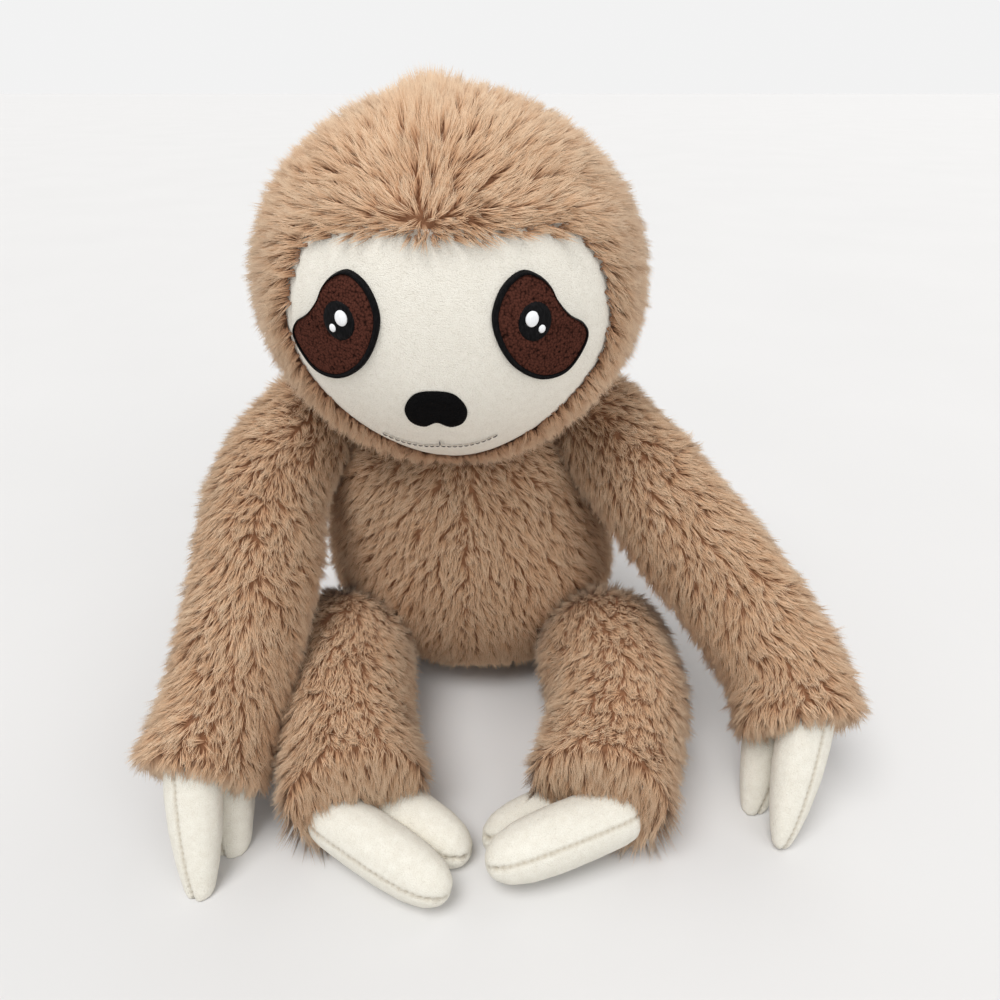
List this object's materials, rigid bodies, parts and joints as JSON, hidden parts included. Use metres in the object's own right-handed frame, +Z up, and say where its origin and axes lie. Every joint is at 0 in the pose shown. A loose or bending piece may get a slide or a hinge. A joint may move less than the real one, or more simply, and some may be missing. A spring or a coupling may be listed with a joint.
{
  "type": "plush sloth",
  "caption": "Seated stuffed sloth of brown long-pile plush with a cream face, felt and thread eyes, bendable arms and legs, and cream claws and toes.",
  "frame": {"origin": "on the table the toy sits on, under the back panel of its torso", "axes": "+Z up, -Y to the front where the face looks, +X to the toy's own left"},
  "size_m": [0.3636, 0.2887, 0.3375],
  "materials": {
    "brown_fur": "long-pile brown plush",
    "face_plush": "short-pile cream plush",
    "claw_plush": "smooth cream plush, stuffed and sewn",
    "eye_felt": "dark brown felt",
    "black_thread": "black satin stitch",
    "grey_thread": "dark grey thread",
    "white_thread": "white satin stitch",
    "stuffing": "polyester stuffing",
    "pouch_cloth": "plain cloth pouch filled with plastic beans"
  },
  "bodies": {
    "torso": {"torso_front_left": "brown_fur", "torso_front_right": "brown_fur", "torso_back": "brown_fur", "torso_filling": "stuffing", "seat_bean_pouch": "pouch_cloth", "left_hip_stuffing": "stuffing", "right_hip_stuffing": "stuffing"},
    "neck": {"neck_stuffing": "stuffing"},
    "head": {"crown_left": "brown_fur", "crown_right": "brown_fur", "head_back": "brown_fur", "face_panel": "face_plush", "head_filling": "stuffing", "left_eye_outline": "black_thread", "left_eye_patch": "eye_felt", "left_pupil": "black_thread", "left_eye_highlight": "white_thread", "left_eye_glint": "white_thread", "right_eye_outline": "black_thread", "right_eye_patch": "eye_felt", "right_pupil": "black_thread", "right_eye_highlight": "white_thread", "right_eye_glint": "white_thread", "nose": "black_thread", "mouth_thread": "grey_thread"},
    "left_shoulder": {"left_shoulder_stuffing": "stuffing"},
    "left_arm": {"left_arm_outer": "brown_fur", "left_arm_inner": "brown_fur", "left_arm_filling": "stuffing"},
    "left_hand": {"left_front_claw": "claw_plush", "left_rear_claw": "claw_plush"},
    "left_leg": {"left_leg_upper": "brown_fur", "left_leg_under": "brown_fur", "left_leg_filling": "stuffing"},
    "left_foot": {"left_front_toe": "claw_plush", "left_rear_toe": "claw_plush"},
    "right_shoulder": {"right_shoulder_stuffing": "stuffing"},
    "right_arm": {"right_arm_outer": "brown_fur", "right_arm_inner": "brown_fur", "right_arm_filling": "stuffing"},
    "right_hand": {"right_front_claw": "claw_plush", "right_rear_claw": "claw_plush"},
    "right_leg": {"right_leg_upper": "brown_fur", "right_leg_under": "brown_fur", "right_leg_filling": "stuffing"},
    "right_foot": {"right_front_toe": "claw_plush", "right_rear_toe": "claw_plush"}
  },
  "joints": [
    {"name": "neck_turn", "type": "hinge", "parent": "torso", "child": "neck", "pos_m": [0, -0.01, 0.1145], "axis": [0, 0, 1], "range_deg": [-30, 30], "stiffness_Nm_per_rad": 0.4},
    {"name": "neck_nod", "type": "hinge", "parent": "neck", "child": "head", "pos_m": [0, -0.01, 0.1145], "axis": [1, 0, 0], "range_deg": [-10, 10], "stiffness_Nm_per_rad": 2},
    {"name": "left_arm_spread", "type": "hinge", "parent": "torso", "child": "left_shoulder", "pos_m": [0.086, -0.012, 0.1585], "axis": [0, 1, 0], "range_deg": [-50, 0]},
    {"name": "left_arm_raise", "type": "hinge", "parent": "left_shoulder", "child": "left_arm", "pos_m": [0.086, -0.012, 0.1585], "axis": [1, 0, 0], "range_deg": [-40, 0]},
    {"name": "left_hand_bend", "type": "hinge", "parent": "left_arm", "child": "left_hand", "pos_m": [0.18226, -0.12938, 0.05229], "axis": [0.4061, -0.8012, 0.4394], "range_deg": [-15, 15], "stiffness_Nm_per_rad": 0.1},
    {"name": "left_leg_lift", "type": "hinge", "parent": "torso", "child": "left_leg", "pos_m": [0.09, -0.072, 0.0375], "axis": [1, 0, 0], "range_deg": [-20, 0]},
    {"name": "left_foot_bend", "type": "hinge", "parent": "left_leg", "child": "left_foot", "pos_m": [0.08037, -0.16565, 0.017], "axis": [0.2183, -0.812, 0.5413], "range_deg": [-15, 15], "stiffness_Nm_per_rad": 0.1},
    {"name": "right_arm_spread", "type": "hinge", "parent": "torso", "child": "right_shoulder", "pos_m": [-0.086, -0.012, 0.1585], "axis": [0, 1, 0], "range_deg": [0, 50]},
    {"name": "right_arm_raise", "type": "hinge", "parent": "right_shoulder", "child": "right_arm", "pos_m": [-0.086, -0.012, 0.1585], "axis": [1, 0, 0], "range_deg": [-40, 0]},
    {"name": "right_hand_bend", "type": "hinge", "parent": "right_arm", "child": "right_hand", "pos_m": [-0.11958, -0.15649, 0.04606], "axis": [-0.3903, -0.7818, 0.4863], "range_deg": [-15, 15], "stiffness_Nm_per_rad": 0.1},
    {"name": "right_leg_lift", "type": "hinge", "parent": "torso", "child": "right_leg", "pos_m": [-0.066, -0.072, 0.0375], "axis": [1, 0, 0], "range_deg": [-20, 0]},
    {"name": "right_foot_bend", "type": "hinge", "parent": "right_leg", "child": "right_foot", "pos_m": [-0.04808, -0.16526, 0.017], "axis": [-0.4662, -0.8507, 0.2428], "range_deg": [-15, 15], "stiffness_Nm_per_rad": 0.1}
  ]
}
